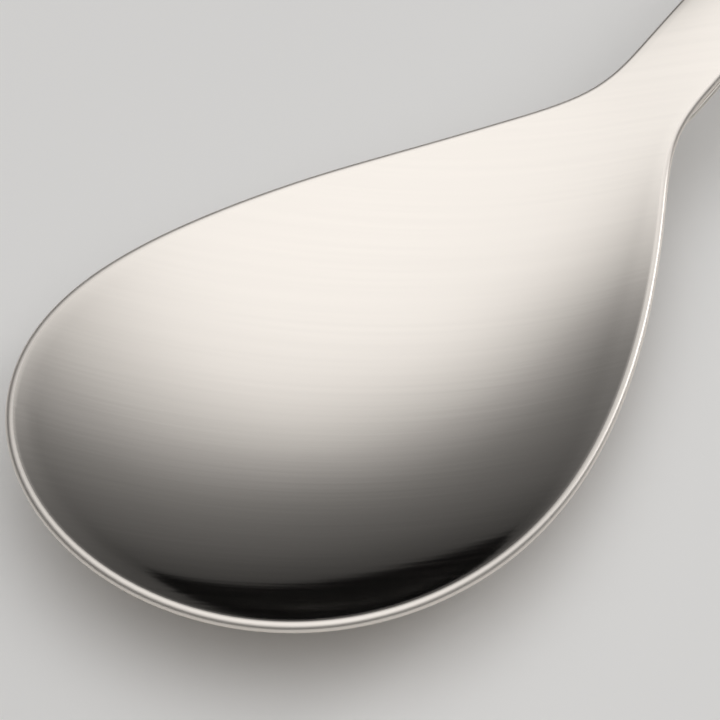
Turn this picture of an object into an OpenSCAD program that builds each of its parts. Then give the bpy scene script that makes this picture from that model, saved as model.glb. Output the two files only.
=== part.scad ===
// Rice serving spoon: a wide shallow steel bowl that runs out through a slim neck into a hollow handle.
// The front of the handle is one sheet with the bowl. A second sheet closes the handle's back,
// and an eyelet lines the hanging hole through both.
// X runs from the tip of the bowl to the end of the handle, Z is up and the spoon lies on Z = 0.

/* [Bowl] */
// Width of the bowl over its rim
bowl_w = 68; // [54:1:84]
// Distance from the tip to where the bowl's outline has run out into the neck
bowl_l = 106.5; // [98:0.5:120]
// Distance from the tip to the widest place of the bowl
widest_at = 35.5; // [31:0.5:42]
// Depth of the bowl below its rim at the widest place
bowl_depth = 8; // [5:0.25:12]
// Thickness of the sheet that the bowl and the front of the handle are pressed from
sheet_t = 1.5; // [1:0.1:2]
// How much more sharply the rear of the bowl is bent across than its front
rear_dish = 0.2; // [0:0.05:0.4]
// How far the last of the dish runs on into the neck
dish_run = 9.5; // [6:0.5:12]
// Length over which the dish fades out towards the neck
dish_fade = 28; // [22:1:34]
// How softly the bowl's outline turns into the neck's
shoulder = 7; // [4:0.5:9]

/* [Side view] */
// How much higher the rim stands at the tip than at its lowest place
tip_rise = 3.7; // [0:0.1:6]
// Distance from the tip to the lowest place of the rim
waist_at = 67; // [60:1:74]
// How far the handle arches up between the bowl and its hanging end
arch_rise = 14.2; // [10:0.1:20]

/* [Handle] */
// Length of the whole spoon
spoon_l = 240; // [228:1:264]
// Width of the neck
neck_w = 12; // [10:0.5:16]
// Length of the neck before the handle starts to widen
neck_l = 14; // [8:1:20]
// Width of the handle at its hanging end
handle_w = 22; // [18:0.5:28]
// Distance from the end of the bowl to the thickest stretch of the grip
grip_lead = 42; // [34:1:50]
// Length of the thickest stretch of the grip
grip_l = 15; // [8:1:22]
// Height of the crown on the front of the grip
crown_h = 2.2; // [0.5:0.1:4]
// How far before the end of the bowl the crown starts
crown_lap = 16.5; // [10:0.5:20]
// Depth of the belly on the back of the grip
belly_h = 3.8; // [1:0.1:5]

/* [Back sheet] */
// Thickness of the sheet that closes the back
back_t = 0.8; // [0.6:0.1:1.2]
// How far the back sheet's front end laps under the end of the bowl
back_lap = 10; // [4:0.5:14]
// Length of the back sheet's rounded front end
back_nose_l = 9; // [6:0.5:14]
// Gap at the welded seam between the two sheets
seam_gap = 0.1; // [0.05:0.05:0.2]

/* [Hanging end] */
// Length of the flat tab, where the two sheets lie together
tab_l = 20; // [19:1:26]
// Length of the tab's rounded end
tab_round_l = 12; // [9:0.5:16]
// Diameter of the hole through the eyelet
hang_d = 8; // [5:0.5:8.5]
// Distance from the end of the handle to the middle of the hole
hang_from_end = 11.5; // [10.5:0.5:12.5]
// Wall of the eyelet
eyelet_wall = 0.6; // [0.4:0.1:0.9]
// Thickness of the eyelet's two lips
lip_t = 0.5; // [0.4:0.1:0.8]
// How far the lips reach over the sheets
lip_over = 1.1; // [0.8:0.1:1.4]
// Clearance between the eyelet and the holes in the sheets
eyelet_gap = 0.1; // [0.05:0.05:0.2]

/* [Hidden] */

// Steps across the two sheets and around their rounded edge, and rows near their rounded ends.
cols = 16;
back_cols = 12;
edge_steps = 5;
tip_rows = 11;
round_rows = 9;
nose_rows = 7;
// Length of the tip's close rows, and the distance between rows on the bowl and on the handle.
tip_l = 16;
bowl_row = 3;
handle_row = 4.5;
// How much closer than a whole row the first row lies to a rounded end.
end_share = 0.3;
// Distance over which slopes are measured.
tiny = 0.01;

// Places along the spoon, from the tip.
tab_from = spoon_l - tab_l;
hang_at = spoon_l - hang_from_end;
grip_from = bowl_l + grip_lead;
grip_to = grip_from + grip_l;
back_from = bowl_l - back_lap;
neck_from = bowl_l + dish_run;
dish_to = neck_from - dish_fade;
crown_from = bowl_l - crown_lap;

// Half thicknesses, by which the middle of each sheet is drawn in from its outline.
front_r = sheet_t / 2;
back_r = back_t / 2;
tab_t = sheet_t + seam_gap + back_t;
eyelet_r = hang_d / 2 + eyelet_wall;

// Rises from 0 to 1 with no kink in its slope or its bend at either end.
function ease(t) = t <= 0 ? 0 : t >= 1 ? 1 : pow(t, 3) * (10 - 15 * t + 6 * t * t);
function ease_between(u, a, b) = ease((u - a) / (b - a));
// Rises from 0 to 1 half-way and falls back, as smoothly.
function arch(t) = t <= 0 || t >= 1 ? 0 : 64 * pow(t * (1 - t), 3);
// A quarter of an ellipse: 1 up to q = 0, and 0 from q = 1.
function round_off(q) = q <= 0 ? 1 : q >= 1 ? 0 : sqrt(1 - q * q);
// The larger of two lengths, with the corner where they cross rounded off over the length k.
function soft_max(a, b, k) = max(a, b) + k / 6 * pow(max(1 - abs(a - b) / k, 0), 3);

// Half-widths in plan, drawn in by an inset. The egg of the bowl is 1 at its widest place, and it runs on
// below 0 past the bowl's end, where the neck takes over.
function egg(u, inset) =
    let (s = (u - inset) / (bowl_l - inset), m = (widest_at - inset) / (bowl_l - inset))
    s <= 0 ? 0 : sqrt(s / m) * sign(1 - s) * pow(abs(1 - s) / (1 - m), (1 / m - 1) / 2);
function strip_half(u, inset) =
    (neck_w / 2 - inset + (handle_w - neck_w) / 2 * ease_between(u, bowl_l + neck_l, tab_from))
    * round_off((u - spoon_l + tab_round_l) / (tab_round_l - inset));
function front_half(u) =
    let (bowl = (bowl_w / 2 - front_r) * egg(u, front_r))
    u < widest_at ? bowl : soft_max(bowl, strip_half(u, front_r), shoulder);
function back_half(u) =
    strip_half(u, back_r) * round_off((back_from + back_nose_l - u) / (back_nose_l - back_r));

// Bend across the sheets: the bowl is dished, the front of the grip is crowned and its back bellies down.
bowl_bend = bowl_depth / pow(bowl_w / 2 - front_r, 2);
crown_bend = crown_h / pow(handle_w / 2, 2);
belly_bend = belly_h / pow(handle_w / 2, 2);
function before_tab(u) = 1 - ease_between(u, grip_to, tab_from);
function crown_share(u) = ease_between(u, crown_from, crown_from + grip_lead) * before_tab(u);
function belly_share(u) = ease_between(u, bowl_l, grip_from) * before_tab(u);
function dish_bend(u) =
    let (full = bowl_bend * (1 + rear_dish * ease_between(u, widest_at, dish_to)))
    -full * (1 - ease_between(u, dish_to, neck_from));
function front_bend(u) = dish_bend(u) + crown_bend * crown_share(u);
function back_bend(u) = dish_bend(u) - belly_bend * belly_share(u);

// Heights of the rim and the seam, to the middle of the front sheet. The bowl's lowest place and the
// eyelet's lower lip both lie on the table.
function tip_lift(u) = tip_rise * (1 - ease(u / waist_at));
waist_z = front_r - min([for (u = [0 : 0.5 : waist_at]) tip_lift(u) + front_bend(u) * pow(front_half(u), 2)]);
tab_z = lip_t + back_t + seam_gap + front_r;
function rim_z(u) =
    let (t = (u - waist_at) / (tab_from - waist_at))
    waist_z + tip_lift(u) + arch_rise * arch(t) + (tab_z - waist_z) * ease(t);
// The back sheet's nose lies against the underside of the bowl's end, which is still a little dished.
function seam_z(u) =
    rim_z(u) - front_r - seam_gap - back_r
    + front_bend(u) * max(pow(front_half(u), 2) - pow(back_half(u), 2), 0);

// Stations along the spoon, closer together towards a rounded end.
function rows_from_end(l, n) = [for (i = [0 : n - 1]) l * pow((i + end_share) / (n + end_share), 2)];
function rows_between(a, b, step) = let (n = ceil((b - a) / step)) [for (i = [0 : n - 1]) a + (b - a) * i / n];
function rows_to_end(inset) =
    let (d = rows_from_end(tab_round_l - inset, round_rows))
    [spoon_l - tab_round_l, for (i = [round_rows - 1 : -1 : 0]) spoon_l - inset - d[i]];
front_rows = concat(
    [for (d = rows_from_end(tip_l, tip_rows)) front_r + d],
    rows_between(front_r + tip_l, neck_from, bowl_row),
    rows_between(neck_from, spoon_l - tab_round_l, handle_row),
    rows_to_end(front_r)
);
back_rows = concat(
    [for (d = rows_from_end(back_nose_l - back_r, nose_rows)) back_from + back_r + d],
    rows_between(back_from + back_nose_l, neck_from, bowl_row),
    rows_between(neck_from, spoon_l - tab_round_l, handle_row),
    rows_to_end(back_r)
);

function unit(v) = v / norm(v);
// Round the sheet's border: out along the first row, up one side, back along the last row, down the other.
function border(n, m) = concat(
    [for (j = [0 : m]) [0, j]],
    [for (i = [1 : n - 2]) [i, m]],
    [for (j = [m : -1 : 0]) [n - 1, j]],
    [for (i = [n - 2 : -1 : 1]) [i, 0]]
);

// A pressed sheet of even thickness with a fully rounded edge, r being half the thickness. At each station u
// of rows its middle has the half-width half(u), the height edge(u) at both edges and the bend bend(u).
module sheet(rows, m, r, half, edge, bend) {
    n = len(rows);
    z = function (u, y) edge(u) + bend(u) * (pow(half(u), 2) - y * y);
    slope = function (u, y)
        let (a = max(u - tiny, rows[0]), b = min(u + tiny, rows[n - 1]))
        [(z(b, y) - z(a, y)) / (b - a), -2 * bend(u) * y];
    mid = [for (u = rows) [for (j = [0 : m]) let (y = half(u) * (2 * j / m - 1)) [u, y, z(u, y)]]];
    up = [for (row = mid) [for (p = row) let (d = slope(p.x, p.y)) unit([-d.x, -d.y, 1])]];

    ring = border(n, m);
    k = len(ring);
    ring_mid = [for (b = ring) mid[b[0]][b[1]]];
    ring_up = [for (b = ring) up[b[0]][b[1]]];
    ring_out = [for (i = [0 : k - 1])
        unit(cross(ring_up[i], ring_mid[(i + 1) % k] - ring_mid[(i + k - 1) % k]))];
    points = concat(
        [for (i = [0 : n - 1]) for (j = [0 : m]) mid[i][j] + r * up[i][j]],
        [for (i = [0 : n - 1]) for (j = [0 : m]) mid[i][j] - r * up[i][j]],
        [for (q = [1 : edge_steps - 1]) let (a = 180 * q / edge_steps)
            for (i = [0 : k - 1]) ring_mid[i] + r * (cos(a) * ring_up[i] + sin(a) * ring_out[i])]
    );

    top_at = function (i, j) i * (m + 1) + j;
    under_at = function (i, j) (n + i) * (m + 1) + j;
    edge_at = function (q, i) let (b = ring[i % k])
        q == 0 ? top_at(b[0], b[1])
        : q == edge_steps ? under_at(b[0], b[1])
        : 2 * n * (m + 1) + (q - 1) * k + i % k;
    quads = concat(
        [for (i = [0 : n - 2]) for (j = [0 : m - 1])
            [top_at(i, j), top_at(i, j + 1), top_at(i + 1, j + 1), top_at(i + 1, j)]],
        [for (i = [0 : n - 2]) for (j = [0 : m - 1])
            [under_at(i, j), under_at(i + 1, j), under_at(i + 1, j + 1), under_at(i, j + 1)]],
        [for (q = [0 : edge_steps - 1]) for (i = [0 : k - 1])
            [edge_at(q, i), edge_at(q + 1, i), edge_at(q + 1, i + 1), edge_at(q, i + 1)]]
    );
    polyhedron(points, [for (f = quads) each [[f[0], f[1], f[2]], [f[0], f[2], f[3]]]]);
}

// The hole that the eyelet passes through, straight down through a sheet of the tab.
module eyelet_hole() {
    translate([hang_at, 0, 0]) cylinder(r = eyelet_r + eyelet_gap, h = 2 * (lip_t + tab_t), $fn = 48);
}

// Sizes run from the tip, and the middle of the spoon's length is at X = 0.
module from_tip() {
    translate([-spoon_l / 2, 0, 0]) children();
}

module bowl_pressing() {
    color([0.84, 0.79, 0.735]) from_tip() difference() {
        sheet(
            front_rows, cols, front_r,
            function (u) front_half(u), function (u) rim_z(u), function (u) front_bend(u)
        );
        eyelet_hole();
    }
}

module handle_back() {
    color([0.80, 0.755, 0.70]) from_tip() difference() {
        sheet(
            back_rows, back_cols, back_r,
            function (u) back_half(u), function (u) seam_z(u), function (u) back_bend(u)
        );
        eyelet_hole();
    }
}

// A short tube with a rounded lip rolled over each face of the tab.
module hang_eyelet() {
    color([0.86, 0.81, 0.755]) from_tip() translate([hang_at, 0, 0]) rotate_extrude($fn = 64) {
        translate([hang_d / 2, 0]) square([eyelet_wall, tab_t + 2 * lip_t]);
        for (z = [0, lip_t + tab_t]) translate([0, z]) {
            translate([hang_d / 2, 0]) square([eyelet_wall + lip_over, lip_t]);
            translate([eyelet_r + lip_over, lip_t / 2]) circle(d = lip_t, $fn = 24);
        }
    }
}

bowl_pressing();
handle_back();
hang_eyelet();
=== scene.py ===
import math
from collections import namedtuple

import bmesh
import bpy
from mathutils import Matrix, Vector


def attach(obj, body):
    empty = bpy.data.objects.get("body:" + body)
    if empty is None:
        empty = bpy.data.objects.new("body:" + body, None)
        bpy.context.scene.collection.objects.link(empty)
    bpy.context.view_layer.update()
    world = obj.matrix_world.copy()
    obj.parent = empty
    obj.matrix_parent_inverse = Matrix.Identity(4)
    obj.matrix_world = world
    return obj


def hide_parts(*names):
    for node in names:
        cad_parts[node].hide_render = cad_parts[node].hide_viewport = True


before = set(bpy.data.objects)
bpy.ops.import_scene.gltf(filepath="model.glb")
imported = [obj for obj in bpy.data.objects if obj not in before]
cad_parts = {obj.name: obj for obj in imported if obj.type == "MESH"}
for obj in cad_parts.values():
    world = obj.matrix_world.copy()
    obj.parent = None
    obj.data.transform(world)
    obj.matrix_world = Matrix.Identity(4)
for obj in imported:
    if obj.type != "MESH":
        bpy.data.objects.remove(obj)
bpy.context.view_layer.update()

MM = 0.001

# Bowl, in millimetres. Places along the spoon are counted from the tip of the bowl.
BOWL_W = 68
BOWL_L = 106.5
BOWL_DEPTH = 8
WIDEST_AT = 35.5
SHEET_T = 1.5
# How much more sharply the rear of the bowl is bent across than its front.
REAR_DISH = 0.2
# How far the last of the dish runs on into the neck, and the length over which it fades out.
DISH_RUN = 9.5
DISH_FADE = 28
# How softly the bowl's outline turns into the neck's.
SHOULDER = 7

# Side view: the rim at the tip and the arch of the handle, over the rim's lowest place.
TIP_RISE = 3.7
WAIST_AT = 67
ARCH_RISE = 14.2

# Neck and handle, with the crown on the front of the grip and the belly on its back.
SPOON_L = 240
NECK_W = 12
NECK_L = 14
HANDLE_W = 22
GRIP_LEAD = 42
GRIP_L = 15
CROWN_H = 2.2
CROWN_LAP = 16.5
BELLY_H = 3.8

# Sheet that closes the handle's back.
BACK_T = 0.8
BACK_LAP = 10
BACK_NOSE_L = 9
SEAM_GAP = 0.1

# Hanging end: the flat tab and the eyelet with its two rolled lips.
TAB_L = 20
TAB_ROUND_L = 12
HANG_D = 8
HANG_FROM_END = 11.5
EYELET_WALL = 0.6
EYELET_GAP = 0.1
LIP_T = 0.5
LIP_OVER = 1.1
LIP_ROLL = 0.22
PUNCH_L = 20

# Polishing: what it takes off a sheet's thickness, and how steeply it takes the sheet down towards its rim.
# That reaches in over a share of the half-width at the widest place, and over more of it at the tip and at
# the rear, where it loses a share of its steepness.
POLISHED_OFF = 0.01
ROLL_SLOPE = 0.032
ROLL_W = 0.03
ROLL_TIP = 0.06
ROLL_REAR = 0.12
ROLL_EASE = 0.5

# Rounded edge of the sheets: how far it turns to each side, and how far it stands out in half thicknesses.
EDGE_TURN = math.radians(86)
EDGE_OUT = 0.915
# A face of the raw sheet whose normal has less height than this lies on the edge.
EDGE_FACE_Z = 0.7

# How fine the meshes are: columns across, distances between rows, rows at the rounded ends, sides of the
# round pieces and steps round an edge. The columns lie wider apart by CROWDING in the middle, and closer
# together at the rim.
FRONT_COLUMNS = 40
BACK_COLUMNS = 24
CROWDING = 0.4
BOWL_ROW = 1.25
HANDLE_ROW = 1.75
TIP_ROWS = 26
END_ROWS = 10
PUNCH_SIDES = 96
EYELET_SIDES = 128
ROUND_STEPS = 5
# Points within MERGE become one. Places within SAME_PLACE, or with the same digits, count as one. In metres.
MERGE = 1e-6
PLACE_DIGITS = 5
SAME_PLACE = 1e-5
# Edges up to this angle are shaded smooth, and sharper ones are rolled over.
SMOOTH_TO = math.radians(40)

# Places along the spoon, and the hanging hole's place in the frame, in metres.
NECK_FROM = BOWL_L + DISH_RUN
DISH_TO = NECK_FROM - DISH_FADE
GRIP_FROM = BOWL_L + GRIP_LEAD
GRIP_TO = GRIP_FROM + GRIP_L
CROWN_FROM = BOWL_L - CROWN_LAP
BACK_FROM = BOWL_L - BACK_LAP
NOSE_TO = BACK_FROM + BACK_NOSE_L
TAB_FROM = SPOON_L - TAB_L
TAB_ROUND_FROM = SPOON_L - TAB_ROUND_L
HOLE_X = (SPOON_L / 2 - HANG_FROM_END) * MM

# Half thicknesses, by which the middle of each sheet is drawn in from its outline, and the eyelet's radii.
FRONT_R = SHEET_T / 2
BACK_R = BACK_T / 2
TAB_T = SHEET_T + SEAM_GAP + BACK_T
TAB_Z = LIP_T + BACK_T + SEAM_GAP + FRONT_R
HOLE_R = HANG_D / 2
EYELET_R = HOLE_R + EYELET_WALL
LIP_R = EYELET_R + LIP_OVER + LIP_T / 2

# Bend across the sheets at its fullest: dish of the bowl, crown and belly of the grip.
BOWL_BEND = BOWL_DEPTH / (BOWL_W / 2 - FRONT_R) ** 2
CROWN_BEND = CROWN_H / (HANDLE_W / 2) ** 2
BELLY_BEND = BELLY_H / (HANDLE_W / 2) ** 2

# Finish of the steel, with the size of a hairline along, across and through the sheet in metres.
HAIRLINE_SIZE = (0.05, 0.0007, 0.01)
HAIRLINE_DETAIL = 1
HAIRLINE_BREAKUP = 0.6
HAIRLINE_STRENGTH = 0.15
HAIRLINE_DEPTH = 0.00002
CLOUD_SCALE = 55
CLOUD_DETAIL = 3
# How far the tone strays from the steel's colour. From the faintest marks to the strongest, the roughness
# goes from a smaller to a larger share of the steel's own.
TONE_SPREAD = 0.025
FAINT_MARKS = 0.1
STRONG_MARKS = 0.45
FAINT_SHARE = 0.75
STRONG_SHARE = 1.35
# How rough the grinding belt leaves the edge of each sheet, and how much of that shows where the edge begins.
EDGE_ROUGHNESS = 0.4
EDGE_BLEND = 0.5
GROUND_EDGE = "ground_edge"

# Studio, in metres. The dome's stops are (height of the direction, level), from the horizon to straight up.
# The reflection of its dark foot is the dark crescent inside the near rim.
DOME_STOPS = [
    (0.0, 0.003), (0.13, 0.003), (0.14, 0.003), (0.152, 0.042), (0.165, 0.048), (0.21, 0.058),
    (0.28, 0.086), (0.37, 0.116), (0.45, 0.16), (0.52, 0.226), (0.6, 0.375), (0.66, 0.515),
    (0.73, 0.68), (0.8, 0.83), (0.88, 0.94), (1.0, 1.0),
]
# The dome is a little stronger on the camera's right than on its left.
DOME_RIGHT = (0.662, -0.749, 0)
LEFT_LEVEL = 1.04
RIGHT_LEVEL = 1.2
FLOOR_R = 4
FLOOR_SIDES = 96
FLOOR_Z = -0.00005
FLOOR_COLOUR = (0.9, 0.89, 0.875, 1)
FLOOR_ROUGHNESS = 0.4

# Camera of the photo: its picture's width and its lens in pixels, the point it looks at and where it stands.
SENSOR_W = 36
PICTURE_PX = 720
LENS_PX = 3574
LOOKED_AT = Vector((-0.06773, 0.0053, 0))
CAMERA_TURN = math.radians(-48.54)
CAMERA_RAISE = math.radians(48.02)
CAMERA_DISTANCE = 0.44752

# The shape of a sheet, as functions of the place along the spoon, and a rounded end of one.
SheetForm = namedtuple("SheetForm", "half height bend")
RoundedEnd = namedtuple("RoundedEnd", "begins length rows")


# Curves that the outlines, bends and heights are made of.

def rise(t):
    """From 0 to 1, with no kink in its slope or its bend at either end."""
    t = min(max(t, 0), 1)
    return t ** 3 * (10 - 15 * t + 6 * t * t)


def rise_between(u, start, end):
    return rise((u - start) / (end - start))


def hump(t):
    """From 0 to 1 half-way and back to 0, as smoothly."""
    return 64 * (t * (1 - t)) ** 3 if 0 < t < 1 else 0


def round_off(q):
    """A quarter of an ellipse: 1 up to q = 0, and 0 from q = 1."""
    return math.sqrt(1 - min(max(q, 0), 1) ** 2)


def soft_max(a, b, k):
    """The larger of two lengths, with the corner where they cross rounded off over the length k."""
    return max(a, b) + k / 6 * max(1 - abs(a - b) / k, 0) ** 3


# Outline, bend and height of the two sheets at a distance u from the tip.

def bowl_half(u, inset):
    """Half-width of the egg-shaped bowl. It runs on below 0 past the bowl's end, where the neck is wider."""
    share = (u - inset) / (BOWL_L - inset)
    widest = (WIDEST_AT - inset) / (BOWL_L - inset)
    if share <= 0:
        return 0
    taper = math.copysign((abs(1 - share) / (1 - widest)) ** ((1 / widest - 1) / 2), 1 - share)
    return (BOWL_W / 2 - inset) * math.sqrt(share / widest) * taper


def strip_half(u, inset):
    """Half-width of the neck and the handle, up to the tab's rounded end."""
    widening = (HANDLE_W - NECK_W) / 2 * rise_between(u, BOWL_L + NECK_L, TAB_FROM)
    return (NECK_W / 2 - inset + widening) * round_off((u - TAB_ROUND_FROM) / (TAB_ROUND_L - inset))


def front_half(u):
    bowl = bowl_half(u, FRONT_R)
    return bowl if u < WIDEST_AT else soft_max(bowl, strip_half(u, FRONT_R), SHOULDER)


def back_half(u):
    return strip_half(u, BACK_R) * round_off((NOSE_TO - u) / (BACK_NOSE_L - BACK_R))


def before_tab(u):
    return 1 - rise_between(u, GRIP_TO, TAB_FROM)


def dish_bend(u):
    full = BOWL_BEND * (1 + REAR_DISH * rise_between(u, WIDEST_AT, DISH_TO))
    return -full * (1 - rise_between(u, DISH_TO, NECK_FROM))


def front_bend(u):
    return dish_bend(u) + CROWN_BEND * rise_between(u, CROWN_FROM, CROWN_FROM + GRIP_LEAD) * before_tab(u)


def back_bend(u):
    return dish_bend(u) - BELLY_BEND * rise_between(u, BOWL_L, GRIP_FROM) * before_tab(u)


def tip_lift(u):
    return TIP_RISE * (1 - rise(u / WAIST_AT))


def dish_floor(u):
    return tip_lift(u) + front_bend(u) * front_half(u) ** 2


# Height of the rim's lowest place, at which the lowest place of the bowl lies on the floor.
WAIST_Z = FRONT_R - min(dish_floor(n / 2) for n in range(2 * WAIST_AT + 1))


def rim_height(u):
    t = (u - WAIST_AT) / (TAB_FROM - WAIST_AT)
    return WAIST_Z + tip_lift(u) + ARCH_RISE * hump(t) + (TAB_Z - WAIST_Z) * rise(t)


def seam_height(u):
    """The back sheet's nose lies against the underside of the bowl's end, which is still a little dished."""
    drop = front_bend(u) * max(front_half(u) ** 2 - back_half(u) ** 2, 0)
    return rim_height(u) - FRONT_R - SEAM_GAP - BACK_R + drop


def rim_roll(u, place):
    """How far polishing has taken the sheet down, from the middle line, 0, to the rim, 1, in half-widths."""
    rear = rise_between(u, WIDEST_AT, DISH_TO)
    width = ROLL_W + ROLL_TIP * max(1 - u / WIDEST_AT, 0) ** 2 + ROLL_REAR * rear
    reach = max(place - 1 + width, 0)
    return ROLL_SLOPE * (1 - ROLL_EASE * rear) * reach * (1 + reach / width)


# Rows of points along the spoon. Across a rounded end they bow until the last one follows the rim.

def spoon_x(u):
    return (u - SPOON_L / 2) * MM


def even_rows(start, end, step):
    count = math.ceil((end - start) / step)
    return [start + (end - start) * n / count for n in range(count + 1)]


def crowd(place):
    """Draws even steps from the middle line, 0, to the rim, 1, closer together towards the rim."""
    return place * (1 + CROWDING - CROWDING * place ** 2)


def arch(side):
    """Height of the arch that is first given to the flat grid, at a distance from its middle line."""
    return 1 - side ** 2


def bowed_point(share, side):
    """Where a point of a square grid goes in a round one, ring by ring: towards the end, and out."""
    if abs(share) > side:
        turn = math.pi / 4 * side / abs(share)
        return share * math.cos(turn), abs(share) * math.sin(turn)
    turn = math.pi / 4 * share / side if side else 0
    return side * math.sin(turn), side * math.cos(turn)


# Ways of working on a mesh.

def put_down_everything():
    if bpy.context.mode != "OBJECT":
        bpy.ops.object.mode_set(mode="OBJECT")
    bpy.ops.object.select_all(action="DESELECT")


def take_up(piece):
    put_down_everything()
    piece.select_set(True)
    bpy.context.view_layer.objects.active = piece


def new_piece(name):
    """The primitive that was just added, under the piece's name."""
    piece = bpy.context.active_object
    piece.name = name
    piece.data.name = name
    return piece


def lines_by_place(piece, axis):
    """The mesh's lines of points across an axis, from low to high: (place, numbers of the points)."""
    lines = {}
    for v in bmesh.from_edit_mesh(piece.data).verts:
        lines.setdefault(round(v.co[axis], PLACE_DIGITS), []).append(v.index)
    return sorted(lines.items())


def pick_points(piece, numbers):
    mesh = bmesh.from_edit_mesh(piece.data)
    mesh.verts.ensure_lookup_table()
    bpy.ops.mesh.select_all(action="DESELECT")
    for n in numbers:
        mesh.verts[n].select = True
    mesh.select_flush_mode()
    bmesh.update_edit_mesh(piece.data)


def pick_edge_faces(piece):
    """Picks the faces on the raw edge of a sheet."""
    mesh = bmesh.from_edit_mesh(piece.data)
    bpy.ops.mesh.select_all(action="DESELECT")
    for f in mesh.faces:
        if abs(f.normal.z) < EDGE_FACE_Z:
            f.select_set(True)
    mesh.select_flush_mode()
    bmesh.update_edit_mesh(piece.data)


def pick_rings(piece, radius, heights):
    """Picks the edges that run round the hanging hole at one radius and at any of the heights."""
    mesh = bmesh.from_edit_mesh(piece.data)
    bpy.ops.mesh.select_all(action="DESELECT")
    for e in mesh.edges:
        round_hole = all(
            abs(math.hypot(v.co.x - HOLE_X, v.co.y) - radius * MM) < SAME_PLACE for v in e.verts
        )
        level = any(all(abs(v.co.z - z * MM) < SAME_PLACE for v in e.verts) for z in heights)
        if round_hole and level:
            e.select_set(True)
    bmesh.update_edit_mesh(piece.data)


# The two sheets.

def pressed_sheet(name, columns, thickness, start, rows, end, form):
    """A flat grid whose rows are drawn to the sheet's own width, bend, place and height."""
    put_down_everything()
    all_rows = start.rows + len(rows) - 1 + end.rows
    bpy.ops.mesh.primitive_grid_add(x_subdivisions=all_rows, y_subdivisions=columns, size=2)
    sheet = new_piece(name)
    bpy.ops.object.mode_set(mode="EDIT")
    bpy.ops.mesh.select_mode(type="VERT")
    along = lines_by_place(sheet, 0)
    for place, points in lines_by_place(sheet, 1):
        pick_points(sheet, points)
        bpy.ops.transform.translate(value=(0, crowd(place) - place, arch(crowd(place))))
    columns_out = {}
    for side, points in lines_by_place(sheet, 1):
        columns_out.setdefault(abs(side), set()).update(points)

    for row, u in zip(along[start.rows:], rows):
        draw_row(sheet, row, columns_out, u, form)
    for n in range(start.rows):
        bow_row(sheet, along[n], columns_out, start, -crowd(1 - n / start.rows), form)
    for n in range(end.rows):
        bow_row(sheet, along[-1 - n], columns_out, end, crowd(1 - n / end.rows), form)
    bpy.ops.mesh.select_all(action="SELECT")
    bpy.ops.mesh.normals_make_consistent(inside=False)
    bpy.ops.object.mode_set(mode="OBJECT")

    gauge = sheet.modifiers.new("gauge", "SOLIDIFY")
    gauge.thickness = (thickness - POLISHED_OFF) * MM
    gauge.offset = 0
    bpy.ops.object.modifier_apply(modifier=gauge.name)
    round_the_edge(sheet, thickness / 2 * MM)
    return sheet


def draw_row(sheet, row, columns_out, u, form):
    """Draws one straight row to its width, bend, place and height, and polishes it down towards the rim."""
    place, points = row
    half = form.half(u)
    pick_points(sheet, points)
    bpy.ops.transform.resize(
        value=(1, half * MM, form.bend(u) * half ** 2 * MM), center_override=(place, 0, 0)
    )
    bpy.ops.transform.translate(value=(spoon_x(u) - place, 0, form.height(u) * MM))
    for side, column in columns_out.items():
        roll = rim_roll(u, side) * half
        if roll:
            pick_points(sheet, column & set(points))
            bpy.ops.transform.translate(value=(0, 0, -roll * MM))


def bow_row(sheet, row, columns_out, rounding, share, form):
    """Puts each pair of points of one row at a rounded end in its place, equally far out on both sides."""
    place, points = row
    for side, column in columns_out.items():
        towards, out = bowed_point(share, side)
        u = rounding.begins + rounding.length * towards
        half = form.half(u)
        y = half * out / math.sqrt(1 - towards ** 2) if side else 0
        roll = rim_roll(u, math.hypot(towards, out)) * form.half(rounding.begins)
        z = form.height(u) + form.bend(u) * (half ** 2 - y ** 2) - roll
        pick_points(sheet, column & set(points))
        bpy.ops.transform.resize(value=(1, y * MM / side if side else 1, 1), center_override=(place, 0, 0))
        bpy.ops.transform.translate(value=(spoon_x(u) - place, 0, z * MM - arch(side)))


def round_the_edge(sheet, radius):
    """Insets the raw edge of the sheet and pushes it out in turn until it is half round, marked as ground."""
    bpy.ops.geometry.attribute_add(name=GROUND_EDGE, domain="POINT", data_type="FLOAT")
    bpy.ops.object.mode_set(mode="EDIT")
    bpy.ops.mesh.select_mode(type="FACE")
    pick_edge_faces(sheet)
    bpy.ops.mesh.attribute_set(value_float=EDGE_BLEND)
    for n in range(ROUND_STEPS):
        a, b = (EDGE_TURN * k / ROUND_STEPS for k in (n, n + 1))
        bpy.ops.mesh.inset(
            thickness=radius * (math.cos(a) - math.cos(b)),
            depth=EDGE_OUT * radius * (math.sin(b) - math.sin(a)),
            use_even_offset=True,
        )
        bpy.ops.mesh.attribute_set(value_float=1)
    bpy.ops.object.mode_set(mode="OBJECT")


def punch_hole(sheet):
    """A round punch takes the hanging hole out of the tab, with a flat and no corner on the middle line."""
    put_down_everything()
    bpy.ops.mesh.primitive_cylinder_add(
        vertices=PUNCH_SIDES, radius=(EYELET_R + EYELET_GAP) * MM, depth=PUNCH_L * MM,
        location=(HOLE_X, 0, TAB_T / 2 * MM), rotation=(0, 0, math.pi / PUNCH_SIDES),
    )
    punch = bpy.context.active_object
    take_up(sheet)
    hole = sheet.modifiers.new("hole", "BOOLEAN")
    hole.object = punch
    hole.operation = "DIFFERENCE"
    hole.solver = "EXACT"
    bpy.ops.object.modifier_apply(modifier=hole.name)
    bpy.ops.object.mode_set(mode="EDIT")
    bpy.ops.mesh.select_all(action="SELECT")
    bpy.ops.mesh.remove_doubles(threshold=MERGE)
    take_up(punch)
    bpy.ops.object.delete()


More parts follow.
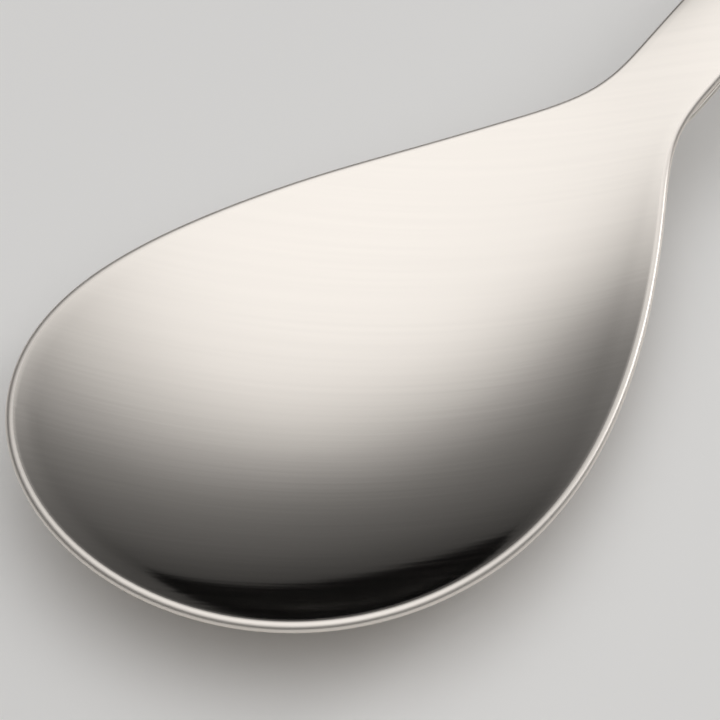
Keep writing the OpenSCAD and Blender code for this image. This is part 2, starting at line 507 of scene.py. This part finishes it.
def front_sheet():
    bowl_rows = even_rows(WIDEST_AT, NECK_FROM, BOWL_ROW)
    handle_rows = even_rows(NECK_FROM, TAB_ROUND_FROM, HANDLE_ROW)
    sheet = pressed_sheet(
        "bowl_and_handle_front", FRONT_COLUMNS, SHEET_T,
        RoundedEnd(WIDEST_AT, WIDEST_AT - FRONT_R, TIP_ROWS),
        bowl_rows + handle_rows[1:],
        RoundedEnd(TAB_ROUND_FROM, TAB_ROUND_L - FRONT_R, END_ROWS),
        SheetForm(front_half, rim_height, front_bend),
    )
    punch_hole(sheet)
    return sheet


def back_sheet():
    sheet = pressed_sheet(
        "handle_back_sheet", BACK_COLUMNS, BACK_T,
        RoundedEnd(NOSE_TO, BACK_NOSE_L - BACK_R, END_ROWS),
        even_rows(NOSE_TO, TAB_ROUND_FROM, HANDLE_ROW),
        RoundedEnd(TAB_ROUND_FROM, TAB_ROUND_L - BACK_R, END_ROWS),
        SheetForm(back_half, seam_height, back_bend),
    )
    punch_hole(sheet)
    return sheet


# The eyelet.

def rolled_eyelet():
    """A short tube, whose ends are drawn out into lips and joined up behind by the sleeve in the sheets."""
    put_down_everything()
    height = TAB_T + 2 * LIP_T
    centre = Vector((HOLE_X, 0, height / 2 * MM))
    bpy.ops.mesh.primitive_cylinder_add(
        vertices=EYELET_SIDES, radius=HOLE_R * MM, depth=height * MM, end_fill_type="NOTHING", location=centre
    )
    eyelet = new_piece("hanging_eyelet")
    bpy.ops.object.transform_apply(location=True, rotation=True, scale=True)
    bpy.ops.object.mode_set(mode="EDIT")
    bpy.ops.mesh.select_mode(type="EDGE")
    for z, inward in ((0, 1), (height, -1)):
        pick_rings(eyelet, HOLE_R, [z])
        bpy.ops.mesh.extrude_edges_move()
        bpy.ops.transform.resize(value=(LIP_R / HOLE_R, LIP_R / HOLE_R, 1), center_override=centre)
        bpy.ops.mesh.extrude_edges_move(TRANSFORM_OT_translate={"value": (0, 0, inward * LIP_T * MM)})
        bpy.ops.mesh.extrude_edges_move()
        bpy.ops.transform.resize(value=(EYELET_R / LIP_R, EYELET_R / LIP_R, 1), center_override=centre)
    pick_rings(eyelet, EYELET_R, [LIP_T, height - LIP_T])
    bpy.ops.mesh.bridge_edge_loops()
    bpy.ops.mesh.select_all(action="SELECT")
    bpy.ops.mesh.remove_doubles(threshold=MERGE)
    bpy.ops.mesh.normals_make_consistent(inside=False)
    bpy.ops.object.mode_set(mode="OBJECT")

    roll = eyelet.modifiers.new("roll", "BEVEL")
    roll.width = LIP_ROLL * MM
    roll.segments = ROUND_STEPS
    roll.limit_method = "ANGLE"
    roll.angle_limit = SMOOTH_TO
    bpy.ops.object.modifier_apply(modifier=roll.name)
    return eyelet


# Finishes.

def polished_steel(name, colour, roughness, lines_turn):
    """Polished steel: long hairlines left by the wheel, faint cloudy patches and a satin ground edge."""
    steel = bpy.data.materials.new(name)
    steel.use_nodes = True
    nodes, links = steel.node_tree.nodes, steel.node_tree.links
    shader = nodes["Principled BSDF"]
    shader.inputs["Metallic"].default_value = 1
    place = nodes.new("ShaderNodeTexCoord")

    along = nodes.new("ShaderNodeMapping")
    along.name = "hairline direction"
    along.vector_type = "TEXTURE"
    along.inputs["Rotation"].default_value = (0, 0, math.radians(lines_turn))
    along.inputs["Scale"].default_value = HAIRLINE_SIZE
    links.new(place.outputs["Object"], along.inputs["Vector"])
    hairlines = nodes.new("ShaderNodeTexNoise")
    hairlines.name = "hairlines"
    hairlines.inputs["Scale"].default_value = 1
    hairlines.inputs["Detail"].default_value = HAIRLINE_DETAIL
    hairlines.inputs["Roughness"].default_value = HAIRLINE_BREAKUP
    links.new(along.outputs["Vector"], hairlines.inputs["Vector"])

    clouds = nodes.new("ShaderNodeTexNoise")
    clouds.name = "polishing clouds"
    clouds.inputs["Scale"].default_value = CLOUD_SCALE
    clouds.inputs["Detail"].default_value = CLOUD_DETAIL
    links.new(place.outputs["Object"], clouds.inputs["Vector"])

    tone = nodes.new("ShaderNodeMix")
    tone.name = "tone"
    tone.data_type = "RGBA"
    tone.inputs["A"].default_value = (*[c * (1 - TONE_SPREAD) for c in colour], 1)
    tone.inputs["B"].default_value = (*[c * (1 + TONE_SPREAD) for c in colour], 1)
    links.new(hairlines.outputs["Fac"], tone.inputs["Factor"])
    links.new(tone.outputs["Result"], shader.inputs["Base Color"])

    marks = nodes.new("ShaderNodeMath")
    marks.name = "marks"
    marks.operation = "MULTIPLY"
    links.new(hairlines.outputs["Fac"], marks.inputs[0])
    links.new(clouds.outputs["Fac"], marks.inputs[1])
    gloss = nodes.new("ShaderNodeMapRange")
    gloss.name = "gloss"
    gloss.inputs["From Min"].default_value = FAINT_MARKS
    gloss.inputs["From Max"].default_value = STRONG_MARKS
    gloss.inputs["To Min"].default_value = roughness * FAINT_SHARE
    gloss.inputs["To Max"].default_value = roughness * STRONG_SHARE
    links.new(marks.outputs["Value"], gloss.inputs["Value"])
    ground = nodes.new("ShaderNodeAttribute")
    ground.attribute_name = GROUND_EDGE
    satin = nodes.new("ShaderNodeMix")
    satin.name = "ground edge"
    satin.inputs["B"].default_value = EDGE_ROUGHNESS
    links.new(ground.outputs["Fac"], satin.inputs["Factor"])
    links.new(gloss.outputs["Result"], satin.inputs["A"])
    links.new(satin.outputs["Result"], shader.inputs["Roughness"])

    grain = nodes.new("ShaderNodeBump")
    grain.name = "hairline depth"
    grain.inputs["Strength"].default_value = HAIRLINE_STRENGTH
    grain.inputs["Distance"].default_value = HAIRLINE_DEPTH
    links.new(hairlines.outputs["Fac"], grain.inputs["Height"])
    links.new(grain.outputs["Normal"], shader.inputs["Normal"])
    return steel


def finish_piece(piece, steel, node):
    take_up(piece)
    bpy.ops.object.shade_smooth_by_angle(angle=SMOOTH_TO)
    piece.data.materials.clear()
    piece.data.materials.append(steel)
    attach(piece, "root")
    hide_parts(node)


# Studio.

def photo_camera():
    lens = bpy.data.cameras.new("camera")
    lens.sensor_width = SENSOR_W
    lens.lens = SENSOR_W * LENS_PX / PICTURE_PX
    camera = bpy.data.objects.new("camera", lens)
    bpy.context.scene.collection.objects.link(camera)
    back = Vector((
        math.sin(CAMERA_TURN) * math.cos(CAMERA_RAISE),
        -math.cos(CAMERA_TURN) * math.cos(CAMERA_RAISE),
        math.sin(CAMERA_RAISE),
    ))
    camera.location = LOOKED_AT + CAMERA_DISTANCE * back
    camera.rotation_euler = back.to_track_quat("Z", "Y").to_euler()
    bpy.context.scene.camera = camera


def studio_dome():
    """Soft light from a white dome overhead that falls off to dark at the horizon, stronger on one side."""
    world = bpy.data.worlds.new("studio_dome")
    bpy.context.scene.world = world
    world.use_nodes = True
    nodes, links = world.node_tree.nodes, world.node_tree.links
    light = nodes["Background"]
    direction = nodes.new("ShaderNodeTexCoord")
    split = nodes.new("ShaderNodeSeparateXYZ")
    links.new(direction.outputs["Generated"], split.inputs["Vector"])

    dome = nodes.new("ShaderNodeValToRGB")
    dome.color_ramp.interpolation = "B_SPLINE"
    ramp = dome.color_ramp.elements
    ramp[0].position, ramp[1].position = DOME_STOPS[0][0], DOME_STOPS[-1][0]
    for place, _ in DOME_STOPS[1:-1]:
        ramp.new(place)
    for stop, (_, level) in zip(ramp, DOME_STOPS):
        stop.color = (level, level, level, 1)
    links.new(split.outputs["Z"], dome.inputs["Fac"])
    links.new(dome.outputs["Color"], light.inputs["Color"])

    aside = nodes.new("ShaderNodeVectorMath")
    aside.operation = "DOT_PRODUCT"
    aside.inputs[1].default_value = DOME_RIGHT
    links.new(direction.outputs["Generated"], aside.inputs[0])
    slant = nodes.new("ShaderNodeMapRange")
    slant.inputs["From Min"].default_value = -1
    slant.inputs["From Max"].default_value = 1
    slant.inputs["To Min"].default_value = LEFT_LEVEL
    slant.inputs["To Max"].default_value = RIGHT_LEVEL
    links.new(aside.outputs["Value"], slant.inputs["Value"])
    links.new(slant.outputs["Result"], light.inputs["Strength"])


def softbox(name, size, energy, location):
    """A round soft lamp that points at the spoon."""
    light = bpy.data.lights.new(name, "AREA")
    light.shape = "DISK"
    light.size = size
    light.energy = energy
    lamp = bpy.data.objects.new(name, light)
    lamp.location = location
    lamp.rotation_euler = lamp.location.to_track_quat("Z", "Y").to_euler()
    bpy.context.scene.collection.objects.link(lamp)


def pale_floor():
    paint = bpy.data.materials.new("pale_floor")
    paint.use_nodes = True
    shader = paint.node_tree.nodes["Principled BSDF"]
    shader.inputs["Base Color"].default_value = FLOOR_COLOUR
    shader.inputs["Roughness"].default_value = FLOOR_ROUGHNESS
    put_down_everything()
    bpy.ops.mesh.primitive_circle_add(
        vertices=FLOOR_SIDES, radius=FLOOR_R, fill_type="NGON", location=(0, 0, FLOOR_Z)
    )
    floor = bpy.context.active_object
    floor.name = "floor"
    floor.data.materials.append(paint)


photo_camera()
studio_dome()
softbox("overhead_softbox", size=1.1, energy=0.4, location=(0.08, -0.75, 0.80))
softbox("side_softbox", size=0.34, energy=2.4, location=(1.10, -0.28, 0.40))
pale_floor()

bowl_and_front = front_sheet()
back = back_sheet()
eyelet = rolled_eyelet()

front_steel = polished_steel("polished_steel", colour=(0.84, 0.79, 0.735), roughness=0.075, lines_turn=-48.37)
back_steel = polished_steel("back_steel", colour=(0.80, 0.755, 0.70), roughness=0.11, lines_turn=90)
eyelet_steel = polished_steel("eyelet_steel", colour=(0.86, 0.81, 0.755), roughness=0.09, lines_turn=0)
finish_piece(bowl_and_front, front_steel, "bowl_pressing")
finish_piece(back, back_steel, "handle_back")
finish_piece(eyelet, eyelet_steel, "hang_eyelet")

bpy.context.scene.view_settings.view_transform = "Standard"
put_down_everything()
